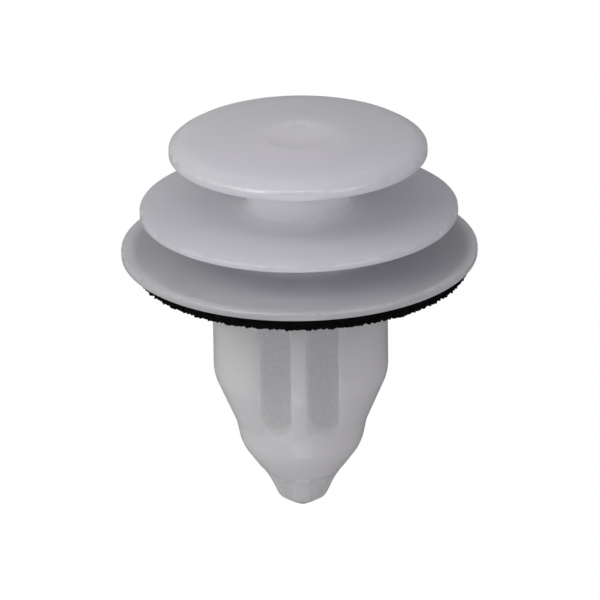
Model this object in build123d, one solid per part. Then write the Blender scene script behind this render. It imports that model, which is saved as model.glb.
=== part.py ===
# Trim panel retainer: a push-in clip with a domed head, a collar, a foam-backed flange and a
# slotted shank that ends in a cross-shaped point.
# Millimetres. The clip is drawn upright, its seat plane at zero and its head up, and then laid
# down as it comes to rest: on the edge of the flange and on the edge where the cone begins.
from math import atan2, cos, degrees, pi, sin
import os

from build123d import *

# Head, the domed disc that goes behind the trim panel's keyhole
head_radius = 7.23
head_edge_height = 0.63
head_round_width = 0.38
head_round_height = 0.33
dome_rise = 0.45

# Dimple in the head, with the scar where the moulding was filled
dimple_radius = 2.05
dimple_depth = 0.32
scar_radius = 0.62
scar_height = 0.14
scar_pit_radius = 0.3
scar_offset = 1.0

# Neck that the keyhole slides onto
upper_neck_radius = 2.98
upper_neck_length = 3.04

# Collar, the middle disc
collar_radius = 8.92
collar_thickness = 0.56
collar_round_width = 0.34
collar_round_height = 0.28

# Neck between the collar and the flange
lower_neck_radius = 3.6
lower_neck_length = 1.73

# Flange, the widest disc, whose underside carries the foam
flange_radius = 10.0
flange_thickness = 0.7
flange_round_width = 0.5
flange_round_height = 0.42

# Spread at the foot of each neck
foot_width = 0.24
foot_height = 0.2

# Shank below the seat plane: a neck for the sheet metal, a shoulder that catches behind it,
# a barrel, a taper, a short lower body and a cone
sheet_neck_radius = 4.15
sheet_neck_length = 1.7
shoulder_length = 1.3
barrel_radius = 4.93
barrel_length = 4.12
taper_length = 2.92
taper_end_radius = 3.7
lower_body_length = 1.4
lower_body_end_radius = 3.42
cone_length = 2.3
cone_end_radius = 1.79
taper_blend_radius = 1.6
shoulder_blend_radius = 0.6

# Blind slots, a pair each side of the middle pillar, at the front and at the back
pillar_width = 0.9
slot_width = 1.76
slot_top_depth = 1.3
slot_bottom_depth = 9.84
core_thickness = 5.1
slot_floor_chamfer = 0.15

# Cross-shaped point: two crossed blades below a flat shelf in the cone
blade_thickness = 0.95
blade_shelf_height = 0.76
heel_drop = 1.03
heel_radius = 1.28
point_drop = 0.37
point_radius = 0.79
blade_edge_round = 0.1

# Foam ring stuck under the flange
washer_outer_radius = 9.3
washer_thickness = 0.8
washer_hole_clearance = 0.17

# How far the seams of the round forms are turned, so that where a mesh gives them flats, the
# clip lies on a flat of the flange and a flat of the shank, and not on a corner
flange_seam_turn = 1.8
shank_seam_turn = 1.5

# Heights of the upright clip
flange_top = flange_thickness
collar_bottom = flange_top + lower_neck_length
collar_top = collar_bottom + collar_thickness
head_bottom = collar_top + upper_neck_length
head_edge_top = head_bottom + head_edge_height

shoulder_top = -sheet_neck_length
barrel_top = shoulder_top - shoulder_length
barrel_bottom = barrel_top - barrel_length
taper_bottom = barrel_bottom - taper_length
cone_top = taper_bottom - lower_body_length
cone_bottom = cone_top - cone_length
blade_shelf = cone_bottom + blade_shelf_height
heel_level = cone_bottom - heel_drop
point_level = heel_level - point_drop

# The cone's side, for where the blades leave it
cone_slope = (lower_body_end_radius - cone_end_radius) / cone_length
shelf_radius = cone_end_radius + cone_slope * blade_shelf_height

washer_hole_radius = barrel_radius + washer_hole_clearance


def quarter_round(width, height):
    """Steps in and up along a quarter of an ellipse, as the three short flats of a rounded edge."""
    angles = [turn * pi / 6 for turn in range(4)]
    return [(width * (1 - cos(angle)), height * sin(angle)) for angle in angles]


def disc(radius, bottom, thickness, round_width, round_height):
    """A flat disc whose upper edge is rounded over, wider than it is high."""
    top = bottom + thickness
    rounded = [
        (radius - inward, 0, top - round_height + upward)
        for inward, upward in quarter_round(round_width, round_height)
    ]
    outline = Polyline([(0, 0, bottom), (radius, 0, bottom)] + rounded + [(0, 0, top)], close=True)
    return revolve(make_face(outline), Axis.Z)


def domed_head():
    """The head: a rounded disc under a shallow dome, with the dimple sunk in its crown."""
    plate = disc(head_radius, head_bottom, head_edge_height, head_round_width, head_round_height)
    dome_radius = head_radius - head_round_width
    ball_radius = (dome_radius**2 + dome_rise**2) / (2 * dome_rise)
    crown = head_edge_top + dome_rise
    ball = Pos(0, 0, crown - ball_radius) * Sphere(ball_radius)
    band = Pos(0, 0, head_edge_top) * Cylinder(
        dome_radius, 2 * dome_rise, align=(Align.CENTER, Align.CENTER, Align.MIN)
    )
    head = plate + (ball & band)
    return head - dimple_tool(crown) + scar(crown)


def dimple_tool(crown):
    """The ball that hollows the dimple out of the crown."""
    ball_radius = (dimple_radius**2 + dimple_depth**2) / (2 * dimple_depth)
    return Pos(0, 0, crown - dimple_depth + ball_radius) * Sphere(ball_radius)


def scar(crown):
    """The small round scar in the dimple, towards its back, with a pit in its middle."""
    top = crown - dimple_depth + scar_height
    button = Pos(0, scar_offset, top) * Cylinder(
        scar_radius, head_edge_height, align=(Align.CENTER, Align.CENTER, Align.MAX)
    )
    pit = Pos(0, scar_offset, top) * Cylinder(
        scar_pit_radius, scar_height, align=(Align.CENTER, Align.CENTER, Align.CENTER)
    )
    return button - pit


def neck(radius, bottom, length):
    """A round neck that spreads in a hollow round where it stands on the disc below."""
    top = bottom + length
    spread = [
        (radius + inward, 0, bottom + foot_height - upward)
        for inward, upward in quarter_round(foot_width, foot_height)
    ]
    outline = Polyline([(0, 0, top), (radius, 0, top)] + spread + [(0, 0, bottom)], close=True)
    return revolve(make_face(outline), Axis.Z)


def shank_body():
    """The turned outline of the shank, from the seat plane down to the end of the cone."""
    corners = [
        (0, 0),
        (sheet_neck_radius, 0),
        (sheet_neck_radius, shoulder_top),
        (barrel_radius, barrel_top),
        (barrel_radius, barrel_bottom),
        (taper_end_radius, taper_bottom),
        (lower_body_end_radius, cone_top),
        (cone_end_radius, cone_bottom),
        (0, cone_bottom),
    ]
    outline = make_face(Polyline([(x, 0, z) for x, z in corners], close=True))
    soft = [
        ((barrel_radius, barrel_top), shoulder_blend_radius),
        ((barrel_radius, barrel_bottom), taper_blend_radius),
    ]
    for (x, z), radius in soft:
        vertex = outline.vertices().sort_by_distance((x, 0, z))[0]
        outline = fillet(vertex, radius)
    return Rot(0, 0, shank_seam_turn) * revolve(outline, Axis.Z)


def slot_tool(side, face):
    """One blind slot: side is -1 or 1 across the pillar, face is -1 for front or 1 for back."""
    length = slot_bottom_depth - slot_top_depth
    middle = -(slot_bottom_depth + slot_top_depth) / 2
    across = side * (pillar_width + slot_width) / 2
    centre = (across, face * core_thickness / 2, middle)
    floor = Plane(origin=centre, x_dir=(0, 0, 1), z_dir=(0, face, 0))
    tool = extrude(floor * SlotOverall(length, slot_width), barrel_radius)
    floor_edges = tool.faces().sort_by_distance(floor.origin)[0].edges()
    return chamfer(floor_edges, slot_floor_chamfer)


def blade(across):
    """One blade of the cross, from the shelf to the point; across turns it about the axis."""
    half_outline = [
        (shelf_radius, blade_shelf),
        (cone_end_radius, cone_bottom),
        (heel_radius, heel_level),
        (point_radius, point_level),
    ]
    right = [(x, 0, z) for x, z in half_outline]
    left = [(-x, 0, z) for x, z in reversed(half_outline)]
    outline = make_face(Polyline(right + left, close=True))
    plate = extrude(outline, blade_thickness / 2, dir=(0, 1, 0), both=True)
    return Rot(0, 0, across) * plate


def cross_point():
    """The two crossed blades, their lower edges eased."""
    cross = blade(0) + blade(90)
    low_edges = cross.edges().filter_by(lambda e: e.center().Z < heel_level - point_drop / 4)
    return fillet(low_edges, blade_edge_round)


def shank():
    """The shank: the turned body, cut square at the blades' shelf, with slots and cross."""
    body = shank_body()
    below_shelf = Pos(0, 0, blade_shelf) * Cylinder(
        barrel_radius, cone_length, align=(Align.CENTER, Align.CENTER, Align.MAX)
    )
    body = body - below_shelf + cross_point()
    for face in (-1, 1):
        for side in (-1, 1):
            body = body - slot_tool(side, face)
    return body


def retainer():
    """The whole moulding, in one piece."""
    flange = disc(flange_radius, 0, flange_thickness, flange_round_width, flange_round_height)
    flange = Rot(0, 0, flange_seam_turn) * flange
    collar = disc(
        collar_radius, collar_bottom, collar_thickness, collar_round_width, collar_round_height
    )
    lower_neck = neck(lower_neck_radius, flange_top, lower_neck_length)
    upper_neck = neck(upper_neck_radius, collar_top, upper_neck_length)
    return flange + collar + lower_neck + upper_neck + domed_head() + shank()


def sealing_washer():
    """The foam ring under the flange."""
    top_centre = (Align.CENTER, Align.CENTER, Align.MAX)
    ring = Cylinder(washer_outer_radius, washer_thickness, align=top_centre)
    return ring - Cylinder(washer_hole_radius, washer_thickness, align=top_centre)


def resting_angle():
    """How far the axis rises above the floor when the clip lies on its flange.

    The floor passes under the flange's edge and the first of these corners that it meets.
    """
    corners = [
        (washer_outer_radius, -washer_thickness),
        (barrel_radius, barrel_bottom),
        (taper_end_radius, taper_bottom),
        (lower_body_end_radius, cone_top),
        (cone_end_radius, cone_bottom),
        (heel_radius, heel_level),
        (point_radius, point_level),
    ]
    slope = min((flange_radius - radius) / -level for radius, level in corners)
    return degrees(atan2(slope, 1))


def laid_down(pieces):
    """Tip the pieces back onto the flange's edge, and centre them over the origin."""
    tipped = [Rot(resting_angle() - 90, 0, 0) * piece for piece in pieces]
    boxes = [piece.bounding_box() for piece in tipped]
    back = max(box.max.Y for box in boxes)
    front = min(box.min.Y for box in boxes)
    floor = min(box.min.Z for box in boxes)
    return [Pos(0, -(back + front) / 2, -floor) * piece for piece in tipped]


def main():
    moulding, foam = laid_down([retainer(), sealing_washer()])
    os.makedirs("parts", exist_ok=True)
    export_step(moulding, "parts/retainer.step")
    export_step(foam, "parts/sealing_washer.step")


main()
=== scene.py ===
# A trim panel retainer in natural nylon with a foam ring, lying on a pale floor.
# Every shape is modelled upright, its seat plane at zero and its head up, and then laid down.
import math

import bmesh
import bpy
from mathutils import Matrix, Vector


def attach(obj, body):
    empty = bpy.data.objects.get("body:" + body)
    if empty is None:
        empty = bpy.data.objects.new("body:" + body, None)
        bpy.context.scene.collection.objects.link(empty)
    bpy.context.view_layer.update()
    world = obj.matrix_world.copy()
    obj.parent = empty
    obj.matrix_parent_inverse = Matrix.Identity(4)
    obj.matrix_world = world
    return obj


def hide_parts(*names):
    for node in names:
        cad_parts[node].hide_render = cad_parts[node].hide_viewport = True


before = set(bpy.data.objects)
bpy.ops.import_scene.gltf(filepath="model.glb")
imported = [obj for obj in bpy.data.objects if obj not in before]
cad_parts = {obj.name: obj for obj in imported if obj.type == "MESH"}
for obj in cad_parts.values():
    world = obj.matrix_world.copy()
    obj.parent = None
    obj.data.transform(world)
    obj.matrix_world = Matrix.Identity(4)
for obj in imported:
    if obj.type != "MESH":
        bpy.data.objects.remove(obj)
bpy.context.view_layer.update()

mm = 0.001
touching = 0.001 * mm  # places closer than this are the same

# How the clip lies: tipped back about X, then moved so that it is centred and touches the floor
lying = {
    "tipAngle": math.radians(29.906429 - 90),
    "backShift": 2.134792 * mm,
    "liftShift": 8.668408 * mm,
}
laidDown = Matrix.Translation((0, lying["backShift"], lying["liftShift"])) @ Matrix.Rotation(
    lying["tipAngle"], 4, "X"
)


# The camera looks at the clip as if it stood upright, and is then laid down with it
view = {
    "aim": Vector((0, 0, -4 * mm)),  # a point on the clip's own axis
    "distance": 400 * mm,
    "elevation": math.radians(22.83),
    "turn": math.radians(1.65),
    "roll": math.radians(0.79),
    "lift": 0.986 * mm,  # slides the camera, so the clip sits a little low in the picture
    "side": -0.02 * mm,
    "lens": 426,
    "sensorWidth": 36,
    "nearest": 0.01,
    "furthest": 20,
}


def makeCamera():
    rise, turn, roll = view["elevation"], view["turn"], view["roll"]
    level = math.cos(rise)
    back = Vector((math.sin(turn) * level, -math.cos(turn) * level, math.sin(rise)))
    levelRight = Vector((math.cos(turn), math.sin(turn), 0))
    levelUp = back.cross(levelRight)
    right = levelRight * math.cos(roll) - levelUp * math.sin(roll)
    up = levelRight * math.sin(roll) + levelUp * math.cos(roll)
    place = view["aim"] + back * view["distance"] + up * view["lift"] + right * view["side"]
    upright = Matrix((right, up, back)).transposed().to_4x4()
    upright.translation = place
    bpy.ops.object.camera_add()
    camera = bpy.context.object
    camera.name = "camera"
    camera.matrix_world = laidDown @ upright
    camera.data.lens = view["lens"]
    camera.data.sensor_width = view["sensorWidth"]
    camera.data.clip_start = view["nearest"]
    camera.data.clip_end = view["furthest"]
    bpy.context.scene.camera = camera


makeCamera()
bpy.context.scene.view_settings.view_transform = "Standard"
print("camera placed")


# Small helpers for edit mode
def selectOnly(piece):
    bpy.ops.object.select_all(action="DESELECT")
    piece.select_set(True)
    bpy.context.view_layer.objects.active = piece


def startEditing(piece, kind="VERT"):
    selectOnly(piece)
    bpy.ops.object.mode_set(mode="EDIT")
    bpy.ops.mesh.select_mode(type=kind)
    bpy.ops.mesh.select_all(action="DESELECT")


def stopEditing():
    bpy.ops.object.mode_set(mode="OBJECT")


def pickVerts(test):  # selects the corners that pass the test, in edit mode
    data = bpy.context.edit_object.data
    mesh = bmesh.from_edit_mesh(data)
    for corner in mesh.verts:
        corner.select = bool(test(corner.co))
    mesh.select_flush_mode()
    bmesh.update_edit_mesh(data)


def pickEdges(test):  # selects the edges that pass the test, in edit mode
    data = bpy.context.edit_object.data
    mesh = bmesh.from_edit_mesh(data)
    for face in mesh.faces:
        face.select = False
    for edge in mesh.edges:
        edge.select = bool(test(edge))
    bmesh.update_edit_mesh(data)


def applyModifier(piece, modifier):
    selectOnly(piece)
    bpy.ops.object.modifier_apply(modifier=modifier.name)


def cutWith(piece, tool, operation):  # boolean with a tool that is then thrown away
    change = piece.modifiers.new("change", "BOOLEAN")
    change.operation = operation
    change.object = tool
    change.solver = "EXACT"
    applyModifier(piece, change)
    bpy.data.objects.remove(tool)


# Draws an outline in an upright plane, and stays in edit mode: a single corner is extruded from
# corner to corner, and marked corners are rounded. Corners are (radius or half width, height,
# length cut back from the corner, segments), in millimetres.
def drawOutline(corners, depth=0):
    first = corners[0]
    bpy.ops.object.select_all(action="DESELECT")
    bpy.ops.mesh.primitive_plane_add(size=mm, location=(first[0] * mm, depth, first[1] * mm))
    piece = bpy.context.object
    bpy.ops.object.transform_apply(location=True, rotation=True, scale=True)
    bpy.ops.object.mode_set(mode="EDIT")
    bpy.ops.mesh.select_mode(type="VERT")
    bpy.ops.mesh.merge(type="CENTER")
    for before, after in zip(corners, corners[1:]):
        step = ((after[0] - before[0]) * mm, 0, (after[1] - before[1]) * mm)
        bpy.ops.mesh.extrude_region_move(TRANSFORM_OT_translate={"value": step})
    for across, height, cutBack, segments in corners:
        if cutBack:
            spot = Vector((across * mm, depth, height * mm))
            pickVerts(lambda place: (place - spot).length < touching)
            bpy.ops.mesh.bevel(offset=cutBack * mm, segments=segments, affect="VERTICES")
    return piece


def turned(name, corners, steps):  # an outline spun about the upright axis
    piece = drawOutline(corners)
    piece.name = name
    bpy.ops.mesh.select_all(action="SELECT")
    bpy.ops.mesh.spin(steps=steps, angle=2 * math.pi, center=(0, 0, 0), axis=(0, 0, 1))
    bpy.ops.mesh.select_all(action="SELECT")
    bpy.ops.mesh.remove_doubles(threshold=touching / 2)
    bpy.ops.mesh.normals_make_consistent(inside=False)
    stopEditing()
    return piece


def layDown(piece):  # from upright to lying, with the place kept in the mesh
    selectOnly(piece)
    piece.matrix_world = laidDown
    bpy.ops.object.transform_apply(location=True, rotation=True, scale=True)


# The moulding's turned shape, in millimetres on the upright clip. A round is the length that it
# cuts back from the corner, and its segments.
clip = {
    "headRadius": 7.23,
    "headUnderside": 5.98,
    "headCrown": 7.11,
    "headDome": (6.3, 0.18),  # the shallow dome's reach and how far it falls
    "headShoulder": [(6.5, 6.895), (6.7, 6.808), (6.88, 6.7), (7.06, 6.59)],
    "headCorner": 6.44,
    "dimpleRadius": 2.08,
    "dimpleDepth": 0.32,
    "dimpleRound": (0.3, 4),
    "upperNeckRadius": 2.98,
    "upperNeckRound": (0.3, 4),
    "collarRadius": 8.92,
    "collarUnderside": 2.43,
    "collarTop": 2.99,
    "collarCorner": 2.79,
    "collarFlat": 5.0,
    "lowerNeckRadius": 3.6,
    "lowerNeckRound": (0.2, 4),
    "flangeRadius": 10.0,
    "flangeTop": 0.7,
    "flangeCorner": 0.42,
    "flangeFlat": 5.5,
    "rimRound": (0.1, 4),
    "undersideRound": (0.05, 2),
    "neckFoot": (0.24, 5),
    "sheetNeckRadius": 4.15,
    "sheetNeckRound": (0.12, 3),
    "shoulderTop": -1.7,
    "barrelRadius": 4.93,
    "barrelTop": -3.0,
    "barrelTopRound": (0.2, 4),
    "barrelBottom": -7.12,
    "barrelBottomRound": (0.42, 6),
    "taperRadius": 3.7,
    "taperBottom": -10.04,
    "taperRound": (0.18, 3),
    "lowerBodyRadius": 3.42,
    "lowerBodyBottom": -11.44,
    "lowerBodyRound": (0.5, 6),
    "coneRadius": 1.79,
    "coneBottom": -13.74,
    "bladeShelf": -12.98,
    "shelfRound": (0.3, 5),
    "core": [  # fills the corners of the cross
        (1.68, -13.5, 0.3, 4), (1.28, -14.3, 0.2, 3), (1.05, -14.9, 0.15, 3), (0, -15.4, 0, 0),
    ],
    "turnSteps": 100,
    "sliver": 0.0003,
    "smoothAngle": math.radians(35),
}


def fallingTop(top, flat, reach, corner):  # a disc's top, which falls away towards its rim
    points = []
    for share in (0, 0.25, 0.5, 0.75):
        points.append((flat + (reach - flat) * share, top - (top - corner) * share**2, 0, 0))
    return points + [(reach, corner, *clip["rimRound"])]


def clipOutline():
    c = clip
    crown, rim = c["headCrown"], c["dimpleRadius"]
    reach, fall = c["headDome"]
    rimHeight = crown - fall * (rim / reach) ** 2
    dimpleFloor = crown - c["dimpleDepth"]
    points = []
    for share in (0, 0.2, 0.4, 0.6, 0.8):  # the dimple's hollow
        points.append((rim * share, dimpleFloor + (rimHeight - dimpleFloor) * share**2, 0, 0))
    points.append((rim, rimHeight, *c["dimpleRound"]))
    for share in (0.2, 0.4, 0.6, 0.8, 1):  # the shallow dome
        radius = rim + (reach - rim) * share
        points.append((radius, crown - fall * (radius / reach) ** 2, 0, 0))
    points += [(radius, height, 0, 0) for radius, height in c["headShoulder"]]
    coneSlope = (c["lowerBodyRadius"] - c["coneRadius"]) / (c["lowerBodyBottom"] - c["coneBottom"])
    shelfRadius = c["coneRadius"] + coneSlope * (c["bladeShelf"] - c["coneBottom"])
    points += [
        (c["headRadius"], c["headCorner"], *c["rimRound"]),
        (c["headRadius"], c["headUnderside"], *c["undersideRound"]),
        (c["upperNeckRadius"], c["headUnderside"], *c["upperNeckRound"]),
        (c["upperNeckRadius"], c["collarTop"], *c["neckFoot"]),
        *fallingTop(c["collarTop"], c["collarFlat"], c["collarRadius"], c["collarCorner"]),
        (c["collarRadius"], c["collarUnderside"], *c["undersideRound"]),
        (c["lowerNeckRadius"], c["collarUnderside"], *c["lowerNeckRound"]),
        (c["lowerNeckRadius"], c["flangeTop"], *c["neckFoot"]),
        *fallingTop(c["flangeTop"], c["flangeFlat"], c["flangeRadius"], c["flangeCorner"]),
        (c["flangeRadius"], 0, *c["undersideRound"]),
        (c["sheetNeckRadius"], 0, *c["sheetNeckRound"]),
        (c["sheetNeckRadius"], c["shoulderTop"], *c["sheetNeckRound"]),
        (c["barrelRadius"], c["barrelTop"], *c["barrelTopRound"]),
        (c["barrelRadius"], c["barrelBottom"], *c["barrelBottomRound"]),
        (c["taperRadius"], c["taperBottom"], *c["taperRound"]),
        (c["lowerBodyRadius"], c["lowerBodyBottom"], *c["lowerBodyRound"]),
        (shelfRadius, c["bladeShelf"], *c["shelfRound"]),
        *c["core"],
    ]
    return points


moulding = turned("clipMoulding", clipOutline(), clip["turnSteps"])
print("moulding turned")

# Two blind slots each side, at the front and at the back. The tool's mouth follows the shank's
# surface and flares through it, which rounds the edge that the cut leaves.
slots = {
    "inner": 0.45,
    "width": 1.76,
    "endSegments": 8,
    "top": -1.3,
    "bottom": -9.84,
    "floor": 2.55,
    "floorRound": 0.16,
    "floorSegments": 3,
    "outside": 5.6,
    "mouth": [(0, -0.075), (0.022, -0.025), (0.095, 0.02)],  # spread, height over the surface
    "flare": 0.3,
    "rungs": 24,
}


def spreadOut(amount, centre):  # extrudes the tool's outer face in place and widens it
    s = slots
    length = s["top"] - s["bottom"]
    bpy.ops.mesh.extrude_region_move(TRANSFORM_OT_translate={"value": (0, 0, 0)})
    wider = (1 + 2 * amount / s["width"], 1, 1 + 2 * amount / length)
    bpy.ops.transform.resize(value=wider, center_override=centre)


def slotTool(side, face):
    s = slots
    width, length = s["width"] * mm, (s["top"] - s["bottom"]) * mm
    depth = (s["outside"] - s["floor"]) * mm
    centre = (
        side * (s["inner"] + s["width"] / 2) * mm,
        face * (s["floor"] + s["outside"]) / 2 * mm,
        (s["top"] + s["bottom"]) / 2 * mm,
    )
    bpy.ops.object.select_all(action="DESELECT")
    bpy.ops.mesh.primitive_cube_add(size=1, location=centre, scale=(width, depth, length))
    tool = bpy.context.object
    bpy.ops.object.transform_apply(location=True, rotation=True, scale=True)
    startEditing(tool, "EDGE")
    pickEdges(lambda edge: abs(edge.verts[0].co.y - edge.verts[1].co.y) > depth / 2)
    bpy.ops.mesh.bevel(offset=width / 2, segments=s["endSegments"], affect="EDGES")
    bpy.ops.mesh.select_all(action="SELECT")
    bpy.ops.mesh.remove_doubles(threshold=touching)
    bpy.ops.mesh.select_all(action="DESELECT")
    level = face * s["floor"] * mm
    pickEdges(lambda edge: all(abs(corner.co.y - level) < touching for corner in edge.verts))
    bpy.ops.mesh.bevel(offset=s["floorRound"] * mm, segments=s["floorSegments"], affect="EDGES")
    for step in range(1, s["rungs"]):  # lines across, so that the mouth can bend
        height = (s["top"] - s["width"] / 2) * mm - (length - width) * step / s["rungs"]
        bpy.ops.mesh.select_all(action="SELECT")
        bpy.ops.mesh.bisect(plane_co=(0, 0, height), plane_no=(0, 0, 1))
    bpy.ops.mesh.select_mode(type="VERT")
    bpy.ops.mesh.select_all(action="DESELECT")
    outer = face * s["outside"] * mm
    pickVerts(lambda place: abs(place.y - outer) < touching)
    before = 0
    for spread, _ in s["mouth"]:
        if spread:
            spreadOut(spread - before, centre)
        before = spread
        if tool.vertex_groups:  # an extruded corner starts in its source's groups
            bpy.ops.object.vertex_group_remove_from(use_all_groups=True)
        bpy.ops.object.vertex_group_assign_new()
    spreadOut(s["flare"] - before, centre)
    bpy.ops.object.vertex_group_remove_from(use_all_groups=True)
    stopEditing()
    rings = [group.name for group in tool.vertex_groups]
    for ring, (_, height) in zip(rings, s["mouth"]):
        follow = tool.modifiers.new("follow", "SHRINKWRAP")
        follow.target = moulding
        follow.wrap_method = "PROJECT"
        follow.use_project_y = True
        follow.use_positive_direction = face < 0
        follow.use_negative_direction = face > 0
        follow.vertex_group = ring
        follow.offset = height * mm
        applyModifier(tool, follow)
    return tool


tools = [slotTool(side, face) for side in (-1, 1) for face in (-1, 1)]
selectOnly(tools[0])
for tool in tools[1:]:
    tool.select_set(True)
bpy.ops.object.join()
cutWith(moulding, tools[0], "DIFFERENCE")
print("slots cut")

# The cross-shaped point: two blades through each other, their lower ends cut by a blunt cone
point = {
    "thickness": 0.95,
    "rootRadius": 1.9,
    "rootHeight": 0.6,
    "startRadius": 2.24,
    "startLevel": -13.07,
    "startRound": (0.15, 4),
    "coneRound": (0.3, 4),
    "heelRadius": 1.3,
    "heelLevel": -14.82,
    "heelRound": (0.26, 4),
    "bladeEndRadius": 0.9,
    "bladeEndLevels": (-15.12, -15.6),
    "edgeRound": 0.16,
    "edgeSegments": 3,
    "tipLevel": -15.56,
    "tipSlope": 0.55,
    "tipRound": 0.25,
    "cutterRadius": 3,
    "cutterRise": 0.5,
    "cutterSteps": 48,
}


def blade(across):  # across turns the blade about the clip's axis
    p, c = point, clip
    half = [
        (p["rootRadius"], c["bladeShelf"] + p["rootHeight"], 0, 0),
        (p["startRadius"], p["startLevel"], *p["startRound"]),
        (c["coneRadius"], c["coneBottom"], *p["coneRound"]),
        (p["heelRadius"], p["heelLevel"], *p["heelRound"]),
        *((p["bladeEndRadius"], level, 0, 0) for level in p["bladeEndLevels"]),
    ]
    otherHalf = [(-corner[0], *corner[1:]) for corner in reversed(half)]
    plate = drawOutline(half + otherHalf, -p["thickness"] / 2 * mm)
    bpy.ops.mesh.select_all(action="SELECT")
    bpy.ops.mesh.edge_face_add()
    bpy.ops.mesh.extrude_region_move(
        TRANSFORM_OT_translate={"value": (0, p["thickness"] * mm, 0)}
    )
    bpy.ops.mesh.select_all(action="SELECT")
    bpy.ops.mesh.normals_make_consistent(inside=False)
    bpy.ops.mesh.select_mode(type="EDGE")
    pickEdges(lambda edge: abs(edge.verts[0].co.y - edge.verts[1].co.y) < touching)
    bpy.ops.mesh.bevel(offset=p["edgeRound"] * mm, segments=p["edgeSegments"], affect="EDGES")
    if across:
        bpy.ops.mesh.select_all(action="SELECT")
        bpy.ops.transform.rotate(value=across, orient_axis="Z", center_override=(0, 0, 0))
    stopEditing()
    return plate


def bluntCone():
    p = point
    wide = p["cutterRadius"]
    top = clip["bladeShelf"] + p["rootHeight"] + p["cutterRise"]
    side = p["tipLevel"] + p["tipSlope"] * wide
    corners = [(0, top, 0, 0), (wide, top, 0, 0), (wide, side, 0, 0)]
    for share in (1, 0.6, 0.3, 0):  # the tip is rounded off
        radius = p["tipRound"] * share
        height = p["tipLevel"] + p["tipSlope"] * p["tipRound"] * (0.5 + share**2 / 2)
        corners.append((radius, height, 0, 0))
    return turned("bluntCone", corners, p["cutterSteps"])


cross = blade(0)
cutWith(cross, blade(math.pi / 2), "UNION")
cutWith(cross, bluntCone(), "INTERSECT")
cutWith(moulding, cross, "UNION")
print("cross point added")

# The scar that the moulding's filling left: a flat cut into the dimple's back slope, with a pit
scar = {
    "floor": 6.93,
    "floorRadius": 0.464,
    "wallHeight": 0.3,
    "offset": 1.5,
    "pitFloor": 6.86,
    "pitRadius": 0.06,
    "pitHeight": 0.08,
    "pitOffset": 1.66,
    "floorRound": (0.04, 3),
    "turnSteps": 32,
}


def scarTool(floor, floorRadius, wall, offset):  # its wall leans out at 45 degrees
    corners = [(0, floor, 0, 0), (floorRadius, floor, *scar["floorRound"])]
    corners += [(floorRadius + wall, floor + wall, 0, 0), (0, floor + wall, 0, 0)]
    tool = turned("scarTool", corners, scar["turnSteps"])
    startEditing(tool)
    bpy.ops.mesh.select_all(action="SELECT")
    bpy.ops.transform.translate(value=(0, offset * mm, 0))
    stopEditing()
    return tool


flat = scarTool(scar["floor"], scar["floorRadius"], scar["wallHeight"], scar["offset"])
cutWith(moulding, flat, "DIFFERENCE")
pit = scarTool(scar["pitFloor"], scar["pitRadius"], scar["pitHeight"], scar["pitOffset"])
cutWith(moulding, pit, "DIFFERENCE")
print("scar cut")

# The cuts leave slivers, which go before the shading is evened out
startEditing(moulding)
bpy.ops.mesh.select_all(action="SELECT")
bpy.ops.mesh.dissolve_degenerate(threshold=clip["sliver"] * mm)
stopEditing()
bpy.ops.object.shade_smooth_by_angle(angle=clip["smoothAngle"])
even = moulding.modifiers.new("even", "WEIGHTED_NORMAL")
even.keep_sharp = True
applyModifier(moulding, even)
layDown(moulding)
print("moulding finished:", len(moulding.data.polygons), "faces")


# The foam ring under the flange, die-cut with a ragged edge
foam = {
    "outerRadius": 9.3,
    "innerRadius": 5.1,
    "gap": 0.004,
    "thickness": 0.8,
    "topRings": [6.3, 8.7],
    "edgeRows": 12,
    "undersideRows": 8,  # close together, next to the cut edge
    "rowStep": 0.07,
    "undersideRings": [7.9, 6.7],
    "turnSteps": 1200,
    "sideShift": 0.12,
    "cutStart": 0.06,  # how far down the ragged cut begins, and how soon it is at its full depth
    "cutFade": 0.25,
    "cutWidth": 0.9,  # further in, the underside is calmer
    "undersideShare": 0.3,
    "raggedDepth": 0.3,
    "raggedScale": 0.19,
    "raggedDetail": 2,
    "poreDepth": 0.09,
    "poreScale": 0.09,
    "middleLevel": 0.45,
    "smoothAngle": math.radians(50),
}


def roughen(piece, name, kind, scale, depth):  # pushes the cut face in and out by a noise
    noise = bpy.data.textures.new(name, kind)
    noise.noise_scale = scale * mm
    if kind == "CLOUDS":
        noise.noise_depth = foam["raggedDetail"]
    push = piece.modifiers.new(name, "DISPLACE")
    push.texture = noise
    push.texture_coords = "LOCAL"
    push.vertex_group = "cutFace"
    push.strength = depth * mm
    push.mid_level = foam["middleLevel"]
    applyModifier(piece, push)


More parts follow.
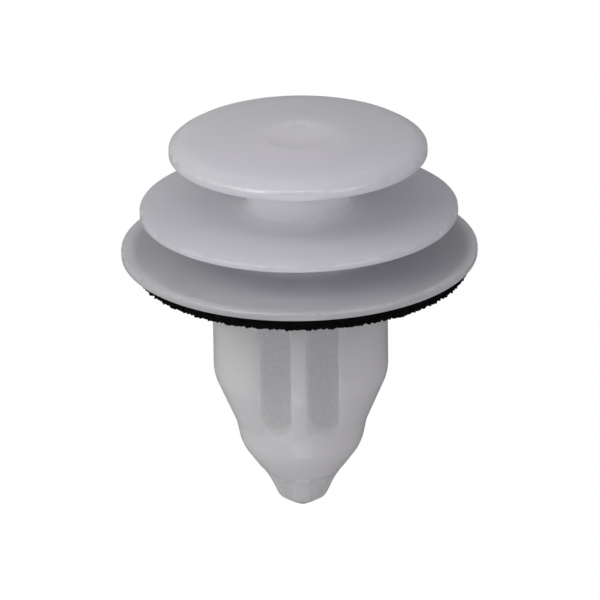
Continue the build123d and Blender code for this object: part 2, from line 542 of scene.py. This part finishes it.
def makeFoamRing():
    f = foam
    outer, inner = f["outerRadius"], f["innerRadius"]
    top, low = -f["gap"], -f["thickness"]
    rows, underRows = f["edgeRows"], f["undersideRows"]
    places = [(radius, top) for radius in (inner, *f["topRings"], outer)]
    places += [(outer, low * row / rows) for row in range(1, rows)]
    places += [(outer, low)]
    places += [(outer - f["rowStep"] * row, low) for row in range(1, underRows + 1)]
    places += [(radius, low) for radius in (*f["undersideRings"], inner)]
    places += [(inner, top)]
    corners = [(radius, height, 0, 0) for radius, height in places]
    ring = turned("foamRing", corners, f["turnSteps"])
    cutFace = ring.vertex_groups.new(name="cutFace")
    for corner in ring.data.vertices:
        share = min(1, max(0, (-corner.co.z / mm - f["cutStart"]) / f["cutFade"]))
        if corner.co.xy.length < (outer - f["cutWidth"]) * mm:
            share *= f["undersideShare"]
        cutFace.add([corner.index], share, "REPLACE")
    roughen(ring, "raggedCut", "CLOUDS", f["raggedScale"], f["raggedDepth"])
    roughen(ring, "openPores", "VORONOI", f["poreScale"], f["poreDepth"])
    startEditing(ring)
    bpy.ops.mesh.select_all(action="SELECT")
    bpy.ops.transform.translate(value=(f["sideShift"] * mm, 0, 0))
    stopEditing()
    bpy.ops.object.shade_smooth_by_angle(angle=f["smoothAngle"])
    return ring


ring = makeFoamRing()
layDown(ring)
print("foam ring made:", len(ring.data.polygons), "faces")


# Materials
def newMaterial(name):
    material = bpy.data.materials.new(name)
    material.use_nodes = True
    nodes, links = material.node_tree.nodes, material.node_tree.links
    return material, nodes, links, nodes["Principled BSDF"]


def addNode(nodes, kind, **settings):
    node = nodes.new("ShaderNode" + kind)
    for key, value in settings.items():
        if key.startswith("in_"):
            node.inputs[key[3:].replace("_", " ")].default_value = value
        else:
            setattr(node, key, value)
    return node


def uprightPlace(nodes, links):  # a surface point's place on the upright clip, in metres
    place = addNode(nodes, "TexCoord")
    back = addNode(nodes, "Mapping", vector_type="TEXTURE")
    back.inputs["Location"].default_value = (0, lying["backShift"], lying["liftShift"])
    back.inputs["Rotation"].default_value = (lying["tipAngle"], 0, 0)
    links.new(place.outputs["Object"], back.inputs["Vector"])
    return back.outputs["Vector"]


# Shared by both materials: a soft cloud and a fine grain, at sizes given in metres
def makeSpeckle():
    group = bpy.data.node_groups.new("speckle", "ShaderNodeTree")
    face = group.interface
    face.new_socket("Place", in_out="INPUT", socket_type="NodeSocketVector")
    for name, size in (("Cloud Size", 3 * mm), ("Grain Size", 0.2 * mm)):
        socket = face.new_socket(name, in_out="INPUT", socket_type="NodeSocketFloat")
        socket.default_value = size
    for name in ("Cloud", "Grain"):
        face.new_socket(name, in_out="OUTPUT", socket_type="NodeSocketFloat")
    nodes, links = group.nodes, group.links
    entry = nodes.new("NodeGroupInput")
    leave = nodes.new("NodeGroupOutput")
    for size, result, detail in (("Cloud Size", "Cloud", 1), ("Grain Size", "Grain", 2)):
        perMetre = addNode(nodes, "Math", operation="DIVIDE")
        perMetre.inputs[0].default_value = 1
        noise = addNode(nodes, "TexNoise", in_Detail=detail)
        links.new(entry.outputs[size], perMetre.inputs[1])
        links.new(entry.outputs["Place"], noise.inputs["Vector"])
        links.new(perMetre.outputs[0], noise.inputs["Scale"])
        links.new(noise.outputs[0], leave.inputs[result])
    return group


speckle = makeSpeckle()


def placeSpeckle(nodes, links, place, cloudSize, grainSize):
    node = nodes.new("ShaderNodeGroup")
    node.node_tree = speckle
    node.inputs["Cloud Size"].default_value = cloudSize
    node.inputs["Grain Size"].default_value = grainSize
    links.new(place, node.inputs["Place"])
    return node


def rangeNode(nodes, links, source, low, high, start, end):
    node = addNode(nodes, "MapRange")
    for socket, value in (
        ("From Min", low), ("From Max", high), ("To Min", start), ("To Max", end)
    ):
        node.inputs[socket].default_value = value
    links.new(source, node.inputs["Value"])
    return node.outputs["Result"]


def mathNode(nodes, links, operation, first, second):
    node = addNode(nodes, "Math", operation=operation)
    for socket, value in zip(node.inputs, (first, second)):
        if isinstance(value, (int, float)):
            socket.default_value = value
        else:
            links.new(value, socket)
    return node.outputs[0]


def mixColour(nodes, links, amount, first, second):
    node = addNode(nodes, "Mix", data_type="RGBA")
    for socket, value in ((node.inputs[6], first), (node.inputs[7], second)):
        if isinstance(value, tuple):
            socket.default_value = value
        else:
            links.new(value, socket)
    links.new(amount, node.inputs[0])
    return node.outputs[2]


def axesOf(nodes, links, place):
    parts = addNode(nodes, "SeparateXYZ")
    links.new(place, parts.inputs[0])
    return parts.outputs["X"], parts.outputs["Y"], parts.outputs["Z"]


def lengthNode(nodes, links, first, second):  # the length of the step (first, second)
    step = addNode(nodes, "CombineXYZ")
    links.new(first, step.inputs["X"])
    links.new(second, step.inputs["Y"])
    length = addNode(nodes, "VectorMath", operation="LENGTH")
    links.new(step.outputs[0], length.inputs[0])
    return length.outputs["Value"]


def offsetNode(nodes, links, value, middle):  # how far the value is from the middle, either way
    shifted = mathNode(nodes, links, "SUBTRACT", value, middle)
    return mathNode(nodes, links, "ABSOLUTE", shifted, 0)


def pastNode(nodes, links, value, reach):  # how far the value is past the reach, or 0
    past = mathNode(nodes, links, "SUBTRACT", value, reach)
    return mathNode(nodes, links, "MAXIMUM", past, 0)


nylon = {
    "colour": (0.911, 0.904, 0.975, 1),
    # The slots' colour is darker than the nylon, as painted shade in the recesses; the lighter
    # grain colour mottles it
    "slotShadeColour": (0.842, 0.844, 0.836, 1),
    "slotGrainColour": (0.918, 0.92, 0.912, 1),
    "slotGrainRange": (0.35, 0.65),
    # A painted highlight on the wall behind the scar's flat
    "scarHighlightColour": (0.975, 0.962, 1, 1),
    "grainRange": (0.3, 0.7),
    "roughness": (0.16, 0.26),
    "slotRoughness": 0.35,
    "bumpStrength": 0.5,
    "bumpDepth": 0.02 * mm,
    "bumpShare": 0.12,
    "slotBumpShare": 0.9,
    "cloudSize": 0.8 * mm,  # breaks up the shine on the rims
    "grainSize": 0.12 * mm,
    "rimShine": 0.8,
    "shineRange": (0.46, 0.56),
    "coatRoughness": 0.08,
    "coatIor": 1.8,
    "translucency": 1.0,
    "lightReach": 6.0 * mm,
    "reachByColour": (1.0, 0.96, 0.98),
    "ior": 1.5,
}

# Where the marks lie on the upright clip, among them the painted shade in the slots and the
# painted highlight behind the scar. A pair gives where a mark starts and ends to fade.
marked = {
    "slotSide": (0.01 * mm, 0.05 * mm),
    "slotDepth": (0.6 * mm, 1.3 * mm),
    "belowFlange": (-0.3 * mm, -0.2 * mm),
    "scarWall": 0.09 * mm,
    "scarArc": (0.09 * mm, 0.16 * mm),
    "scarBehind": (-0.08 * mm, 0.02 * mm),
    "scarHigh": (6.7 * mm, 6.75 * mm),
    "rim": (0.1 * mm, 0.16 * mm),
}

# The mould's insert around each pair of slots leaves a fine line
witness = {
    "halfWidth": 2.65 * mm,
    "top": -0.9 * mm,
    "bottom": -10.3 * mm,
    "corner": 1.3 * mm,
    "thickness": 0.03 * mm,
    "depth": 0.008 * mm,
}


def slotMask(nodes, links, place):  # 1 on the slots' floors and on most of their walls, where the colour is darkened as painted shade
    x, y, z = axesOf(nodes, links, place)
    middle = (slots["top"] + slots["bottom"]) / 2 * mm
    straight = (slots["top"] - slots["bottom"] - slots["width"]) / 2 * mm
    centre = (slots["inner"] + slots["width"] / 2) * mm
    across = mathNode(nodes, links, "SUBTRACT", offsetNode(nodes, links, x, 0), centre)
    along = pastNode(nodes, links, offsetNode(nodes, links, z, middle), straight)
    length = lengthNode(nodes, links, across, along)
    reach, floor = slots["width"] / 2 * mm, slots["floor"] * mm
    near, far = marked["slotSide"]
    inside = rangeNode(nodes, links, length, reach + near, reach + far, 1, 0)
    near, far = marked["slotDepth"]
    deep = offsetNode(nodes, links, y, 0)
    nearFloor = rangeNode(nodes, links, deep, floor + near, floor + far, 1, 0)
    return mathNode(nodes, links, "MULTIPLY", nearFloor, inside)


def witnessMask(nodes, links, place):  # 1 on the fine line around each pair of slots
    w = witness
    x, _, z = axesOf(nodes, links, place)
    middle, half = (w["top"] + w["bottom"]) / 2, (w["top"] - w["bottom"]) / 2
    across = offsetNode(nodes, links, x, 0)
    along = offsetNode(nodes, links, z, middle)
    length = lengthNode(
        nodes,
        links,
        pastNode(nodes, links, across, w["halfWidth"] - w["corner"]),
        pastNode(nodes, links, along, half - w["corner"]),
    )
    away = offsetNode(nodes, links, length, w["corner"])
    line = rangeNode(nodes, links, away, w["thickness"] / 2, w["thickness"] * 1.5, 1, 0)
    below = rangeNode(nodes, links, z, *marked["belowFlange"], 1, 0)
    return mathNode(nodes, links, "MULTIPLY", line, below)


def scarHighlightMask(nodes, links, place):  # 1 on the wall behind the scar's flat, where a highlight is painted into the colour
    x, y, z = axesOf(nodes, links, place)
    back = mathNode(nodes, links, "SUBTRACT", y, scar["offset"] * mm)
    length = lengthNode(nodes, links, x, back)
    wall = scar["floorRadius"] * mm + marked["scarWall"]
    off = offsetNode(nodes, links, length, wall)
    arc = rangeNode(nodes, links, off, *marked["scarArc"], 1, 0)
    behind = rangeNode(nodes, links, back, *marked["scarBehind"], 0, 1)
    high = rangeNode(nodes, links, z, *marked["scarHigh"], 0, 1)
    backArc = mathNode(nodes, links, "MULTIPLY", arc, behind)
    return mathNode(nodes, links, "MULTIPLY", backArc, high)


def rimMask(nodes, links, place):  # 1 along the upper corners of the three discs
    x, y, z = axesOf(nodes, links, place)
    radius = lengthNode(nodes, links, x, y)
    total = 0
    for disc in ("head", "collar", "flange"):
        out = mathNode(nodes, links, "SUBTRACT", radius, clip[disc + "Radius"] * mm)
        up = mathNode(nodes, links, "SUBTRACT", z, clip[disc + "Corner"] * mm)
        away = lengthNode(nodes, links, out, up)
        near = rangeNode(nodes, links, away, *marked["rim"], 1, 0)
        total = mathNode(nodes, links, "ADD", near, total)
    return total


def makeNylon():
    n = nylon
    material, nodes, links, shader = newMaterial("naturalNylon")
    place = uprightPlace(nodes, links)
    marks = placeSpeckle(nodes, links, place, n["cloudSize"], n["grainSize"])
    grain = marks.outputs["Grain"]
    inSlot = slotMask(nodes, links, place)

    # In the slots, painted shade mottled by the grain
    specks = rangeNode(nodes, links, grain, *n["slotGrainRange"], 0, 1)
    slotShadeAndGrain = mixColour(nodes, links, specks, n["slotShadeColour"], n["slotGrainColour"])
    tone = mixColour(nodes, links, inSlot, n["colour"], slotShadeAndGrain)
    # Behind the scar, a painted highlight lightens the colour
    paintedHighlight = scarHighlightMask(nodes, links, place)
    tone = mixColour(nodes, links, paintedHighlight, tone, n["scarHighlightColour"])
    links.new(tone, shader.inputs["Base Color"])

    gloss = rangeNode(nodes, links, grain, *n["grainRange"], *n["roughness"])
    extra = mathNode(nodes, links, "MULTIPLY", inSlot, n["slotRoughness"])
    rough = mathNode(nodes, links, "ADD", gloss, extra)
    links.new(rough, shader.inputs["Roughness"])

    slotHeight = mathNode(nodes, links, "MULTIPLY", inSlot, n["slotBumpShare"])
    share = mathNode(nodes, links, "ADD", slotHeight, n["bumpShare"])
    height = mathNode(nodes, links, "MULTIPLY", grain, share)
    bump = addNode(nodes, "Bump", in_Strength=n["bumpStrength"], in_Distance=n["bumpDepth"])
    links.new(height, bump.inputs["Height"])
    ridge = addNode(nodes, "Bump", in_Strength=1.0, in_Distance=witness["depth"])
    links.new(witnessMask(nodes, links, place), ridge.inputs["Height"])
    links.new(bump.outputs["Normal"], ridge.inputs["Normal"])
    links.new(ridge.outputs["Normal"], shader.inputs["Normal"])

    cloud = marks.outputs["Cloud"]
    broken = rangeNode(nodes, links, cloud, *n["shineRange"], 0, n["rimShine"])
    shine = mathNode(nodes, links, "MULTIPLY", broken, rimMask(nodes, links, place))
    links.new(shine, shader.inputs["Coat Weight"])
    for name, value in (
        ("Coat Roughness", n["coatRoughness"]),
        ("Coat IOR", n["coatIor"]),
        ("Subsurface Weight", n["translucency"]),
        ("Subsurface Radius", n["reachByColour"]),
        ("Subsurface Scale", n["lightReach"]),
        ("IOR", n["ior"]),
    ):
        shader.inputs[name].default_value = value
    return material


blackFoam = {
    "colour": (0.002, 0.002, 0.0022, 1),
    "lightColour": (0.009, 0.009, 0.009, 1),
    "spotRange": (0.62, 0.75),
    "cloudSize": 0.5 * mm,
    "grainSize": 0.06 * mm,
    "cloudRange": (0.3, 0.7),
    "roughness": (0.75, 1),
    "bumpStrength": 0.8,
    "bumpDepth": 0.05 * mm,
    "shine": 0.12,
}


def makeFoam():
    b = blackFoam
    material, nodes, links, shader = newMaterial("blackFoam")
    place = uprightPlace(nodes, links)
    marks = placeSpeckle(nodes, links, place, b["cloudSize"], b["grainSize"])
    spots = rangeNode(nodes, links, marks.outputs["Grain"], *b["spotRange"], 0, 1)
    tone = mixColour(nodes, links, spots, b["colour"], b["lightColour"])
    links.new(tone, shader.inputs["Base Color"])
    rough = rangeNode(nodes, links, marks.outputs["Cloud"], *b["cloudRange"], *b["roughness"])
    links.new(rough, shader.inputs["Roughness"])
    pores = addNode(nodes, "Bump", in_Strength=b["bumpStrength"], in_Distance=b["bumpDepth"])
    links.new(marks.outputs["Grain"], pores.inputs["Height"])
    links.new(pores.outputs["Normal"], shader.inputs["Normal"])
    shader.inputs["Specular IOR Level"].default_value = b["shine"]
    return material


moulding.data.materials.clear()
moulding.data.materials.append(makeNylon())
ring.data.materials.clear()
ring.data.materials.append(makeFoam())
print("materials made")

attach(moulding, "root")
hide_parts("retainer")
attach(ring, "root")
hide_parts("sealing_washer")


# Floor and light
studio = {
    "floorSize": 4.0,
    "floorColour": (0.45, 0.45, 0.45, 1),
    "floorRoughness": 0.9,
    "floorGlow": 0.96,
    "glowStrength": 1.03,
    "skyStrength": 0.02,
    "skyColour": (1, 1, 1, 1),
    "aim": Vector((0, 0, 8 * mm)),
    "distance": 0.35,
    "lamps": {  # direction from the clip; power, width, height and colour of the lamp
        "upperLeft": (Vector((-0.5, 0.364, 0.786)), 0.303, 0.2, 0.2, (0.935, 0.915, 1)),
        "lowerLeft": (Vector((-0.629, -0.194, 0.753)), 0.255, 0.2, 0.2, (0.97, 0.97, 0.995)),
        "farLeft": (Vector((-0.893, 0.288, 0.347)), 0.203, 0.2, 0.2, (1, 0.98, 0.8)),
        "upperRight": (Vector((0.628, 0.235, 0.743)), 0.147, 0.2, 0.2, (0.9, 0.86, 1)),
        "lowerRight": (Vector((0.629, -0.194, 0.753)), 0.178, 0.2, 0.2, (1, 0.98, 0.975)),
        "farRight": (Vector((0.925, 0.215, 0.312)), 0.03, 0.2, 0.2, (1, 0.95, 0.6)),
        "low": (Vector((0, -0.951, 0.31)), 0.187, 0.2, 0.2, (0.955, 0.92, 1)),
        "strip": (Vector((0, 0.575, 0.819)), 0.18, 0.24, 0.05, (0.925, 0.895, 1)),
    },
}


def makeFloor():
    bpy.ops.object.select_all(action="DESELECT")
    bpy.ops.mesh.primitive_plane_add(size=studio["floorSize"], location=(0, 0, 0))
    floor = bpy.context.object
    floor.name = "floor"
    material, nodes, links, shader = newMaterial("paleFloor")
    shader.inputs["Base Color"].default_value = studio["floorColour"]
    shader.inputs["Roughness"].default_value = studio["floorRoughness"]
    glow = addNode(nodes, "Emission", in_Strength=studio["glowStrength"])
    rays = addNode(nodes, "LightPath")
    seen = rays.outputs["Is Camera Ray"]
    amount = mathNode(nodes, links, "MULTIPLY", seen, studio["floorGlow"])
    mix = addNode(nodes, "MixShader")
    links.new(amount, mix.inputs["Fac"])
    links.new(shader.outputs[0], mix.inputs[1])
    links.new(glow.outputs[0], mix.inputs[2])
    links.new(mix.outputs[0], nodes["Material Output"].inputs["Surface"])
    floor.data.materials.append(material)


def makeLamp(name, direction, power, width, height, colour):
    start = direction.normalized() * studio["distance"]
    bpy.ops.object.light_add(type="AREA", location=start)
    lamp = bpy.context.object
    lamp.name = name
    lamp.data.energy = power
    lamp.data.color = colour
    lamp.data.shape = "RECTANGLE"
    lamp.data.size = width
    lamp.data.size_y = height
    lamp.rotation_mode = "QUATERNION"
    lamp.rotation_quaternion = (studio["aim"] - start).to_track_quat("-Z", "Y")


def makeSky():
    world = bpy.data.worlds.new("studioSky")
    bpy.context.scene.world = world
    world.use_nodes = True
    nodes = world.node_tree.nodes
    nodes["Background"].inputs["Color"].default_value = studio["skyColour"]
    nodes["Background"].inputs["Strength"].default_value = studio["skyStrength"]


makeFloor()
for lampName, settings in studio["lamps"].items():
    makeLamp(lampName, *settings)
makeSky()
print("floor and light made")
